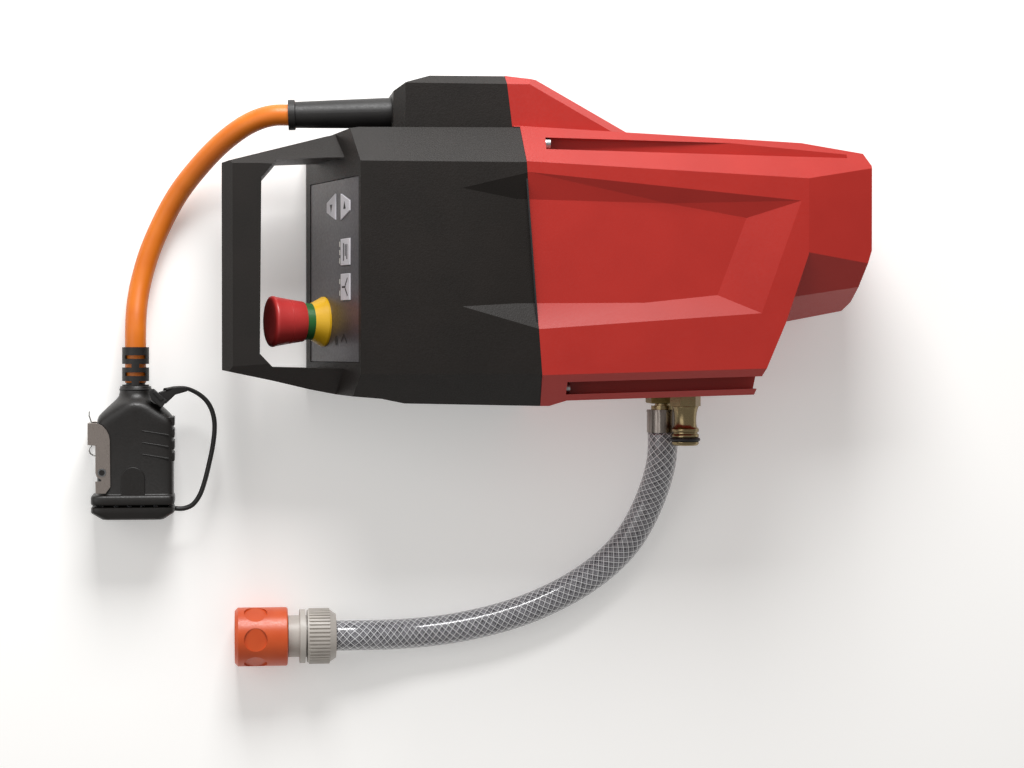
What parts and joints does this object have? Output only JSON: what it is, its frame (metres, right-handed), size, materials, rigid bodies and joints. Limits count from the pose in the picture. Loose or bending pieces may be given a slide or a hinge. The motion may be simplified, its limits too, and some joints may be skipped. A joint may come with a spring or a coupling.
{
  "type": "core drill feed unit",
  "caption": "Hand-carried automatic feed unit for a core drill stand: handled casing, tilted control panel with emergency stop, cable with plug, water hose with quick coupling.",
  "frame": {"origin": "centre of the output hub's bore on the mounting face, on which the unit lies", "axes": "+Z out of the mounting face through the casing to its flat side, +X from the handle to the nose, +Y to the cable block"},
  "size_m": [0.4786, 0.3632, 0.112],
  "materials": {
    "black_housing": "fine-grained moulded",
    "red_housing": "satin moulded",
    "seal_rubber": "smooth",
    "zinc_steel": "zinc plated",
    "cast_aluminium": "machined casting",
    "panel_foil": "printed polyester foil",
    "key_foil": "embossed foil",
    "circuit_board": "solder mask",
    "light_lens": "clear lens",
    "stop_red": "moulded",
    "stop_green": "moulded",
    "stop_yellow": "moulded",
    "switch_plastic": "moulded",
    "turned_steel": "turned",
    "extruded_aluminium": "extruded",
    "cable_sheath": "polyurethane sheath",
    "sleeve_rubber": "matt moulded",
    "plug_black": "glass-filled moulded",
    "contact_carrier": "moulded",
    "stamped_steel": "stamped stainless",
    "spring_wire": "drawn wire",
    "seal_orange": "smooth",
    "strap_rubber": "smooth",
    "gear_steel": "hobbed",
    "bearing_steel": "ground",
    "motor_can": "zinc plated",
    "armature_iron": "laminated and varnished",
    "cast_brass": "machined",
    "turned_brass": "turned",
    "crimped_steel": "crimped",
    "hose_pvc": "clear with braid",
    "coupling_grey": "moulded",
    "coupling_orange": "moulded",
    "coupling_white": "moulded"
  },
  "bodies": {
    "casing": {"rear_cover": "black_housing", "front_cover": "red_housing", "cover_seal": "seal_rubber", "case_screws": "zinc_steel", "base_plate": "cast_aluminium", "control_panel": "panel_foil", "key_board": "circuit_board", "indicator_lights": "light_lens", "stop_ring": "stop_green", "stop_collar": "stop_yellow", "stop_contacts": "switch_plastic", "power_board": "circuit_board", "heat_sink": "extruded_aluminium", "cable_clamp": "zinc_steel", "cable_inner": "cable_sheath", "kink_sleeve": "sleeve_rubber", "power_cable": "cable_sheath", "plug_relief": "sleeve_rubber", "plug_hood": "plug_black", "plug_insert": "contact_carrier", "lever_pin": "turned_steel", "plug_seal": "seal_orange", "cap_lanyard": "strap_rubber", "gear_plate": "cast_aluminium", "standoffs": "zinc_steel", "hub_bearings": "bearing_steel", "shaft_bearings": "bearing_steel", "motor_stator": "motor_can", "motor_end_bell": "cast_aluminium", "brush_holder": "switch_plastic", "manifold": "cast_brass", "inlet_nipple": "turned_brass", "nipple_seal": "seal_rubber", "solenoid_valve": "cast_brass", "hose_barb": "turned_brass", "hose_ferrule": "crimped_steel", "water_hose": "hose_pvc", "coupling_nut": "coupling_grey", "coupling_body": "coupling_grey", "coupling_jaws": "coupling_white", "coupling_valve": "switch_plastic"},
    "rotor": {"rotor_shaft": "turned_steel", "armature": "armature_iron", "motor_pinion": "gear_steel"},
    "fast_wheel": {"fast_shaft": "gear_steel", "fast_gear": "gear_steel"},
    "slow_wheel": {"slow_shaft": "gear_steel", "slow_gear": "gear_steel"},
    "hub": {"output_hub": "turned_steel", "output_gear": "gear_steel"},
    "stop_stem": {"stop_plunger": "turned_steel"},
    "stop_button": {"stop_head": "stop_red"},
    "up_key": {"up_key": "key_foil"},
    "down_key": {"down_key": "key_foil"},
    "start_key": {"start_key": "key_foil"},
    "mode_key": {"mode_key": "key_foil"},
    "lever": {"plug_lever": "stamped_steel", "lever_spring": "spring_wire"},
    "cap": {"dust_cap": "plug_black"},
    "release_sleeve": {"coupling_sleeve": "coupling_orange"}
  },
  "joints": [
    {"name": "rotor_turn", "type": "hinge", "parent": "casing", "child": "rotor", "pos_m": [-0.10111, -0.00205, 0], "axis": [0, 0, 1], "continuous": true},
    {"name": "fast_turn", "type": "hinge", "parent": "casing", "child": "fast_wheel", "pos_m": [-0.06524, 0.00109, 0], "axis": [0, 0, 1], "continuous": true},
    {"name": "slow_turn", "type": "hinge", "parent": "casing", "child": "slow_wheel", "pos_m": [-0.02954, -0.00521, 0], "axis": [0, 0, 1], "continuous": true},
    {"name": "hub_turn", "type": "hinge", "parent": "casing", "child": "hub", "pos_m": [0, 0, 0], "axis": [0, 0, 1], "continuous": true},
    {"name": "stop_push", "type": "slide", "parent": "casing", "child": "stop_stem", "axis": [0.9627, 0, -0.2706], "range_m": [0, 0.0045], "stiffness_N_per_m": 600},
    {"name": "stop_twist", "type": "hinge", "parent": "stop_stem", "child": "stop_button", "pos_m": [-0.30704, -0.0584, 0.04461], "axis": [-0.9627, 0, 0.2706], "range_deg": [0, 45], "stiffness_Nm_per_rad": 0.05},
    {"name": "up_key_press", "type": "slide", "parent": "casing", "child": "up_key", "axis": [0.9627, 0, -0.2706], "range_m": [0, 0.0005], "stiffness_N_per_m": 400},
    {"name": "down_key_press", "type": "slide", "parent": "casing", "child": "down_key", "axis": [0.9627, 0, -0.2706], "range_m": [0, 0.0005], "stiffness_N_per_m": 400},
    {"name": "start_key_press", "type": "slide", "parent": "casing", "child": "start_key", "axis": [0.9627, 0, -0.2706], "range_m": [0, 0.0005], "stiffness_N_per_m": 400},
    {"name": "mode_key_press", "type": "slide", "parent": "casing", "child": "mode_key", "axis": [0.9627, 0, -0.2706], "range_m": [0, 0.0005], "stiffness_N_per_m": 400},
    {"name": "lever_swing", "type": "hinge", "parent": "casing", "child": "lever", "pos_m": [-0.442, -0.1508, 0.019], "axis": [0, 0, 1], "range_deg": [0, 35], "stiffness_Nm_per_rad": 0.02},
    {"name": "cap_slide", "type": "slide", "parent": "casing", "child": "cap", "axis": [0, -1, 0], "range_m": [0, 0.03]},
    {"name": "sleeve_slide", "type": "slide", "parent": "casing", "child": "release_sleeve", "axis": [1, 0, 0], "range_m": [0, 0.004], "stiffness_N_per_m": 500}
  ],
  "couplings": [
    {"joint": "fast_turn", "follows": "rotor_turn", "ratio": -0.2},
    {"joint": "slow_turn", "follows": "rotor_turn", "ratio": 0.063636},
    {"joint": "hub_turn", "follows": "rotor_turn", "ratio": -0.042424}
  ]
}
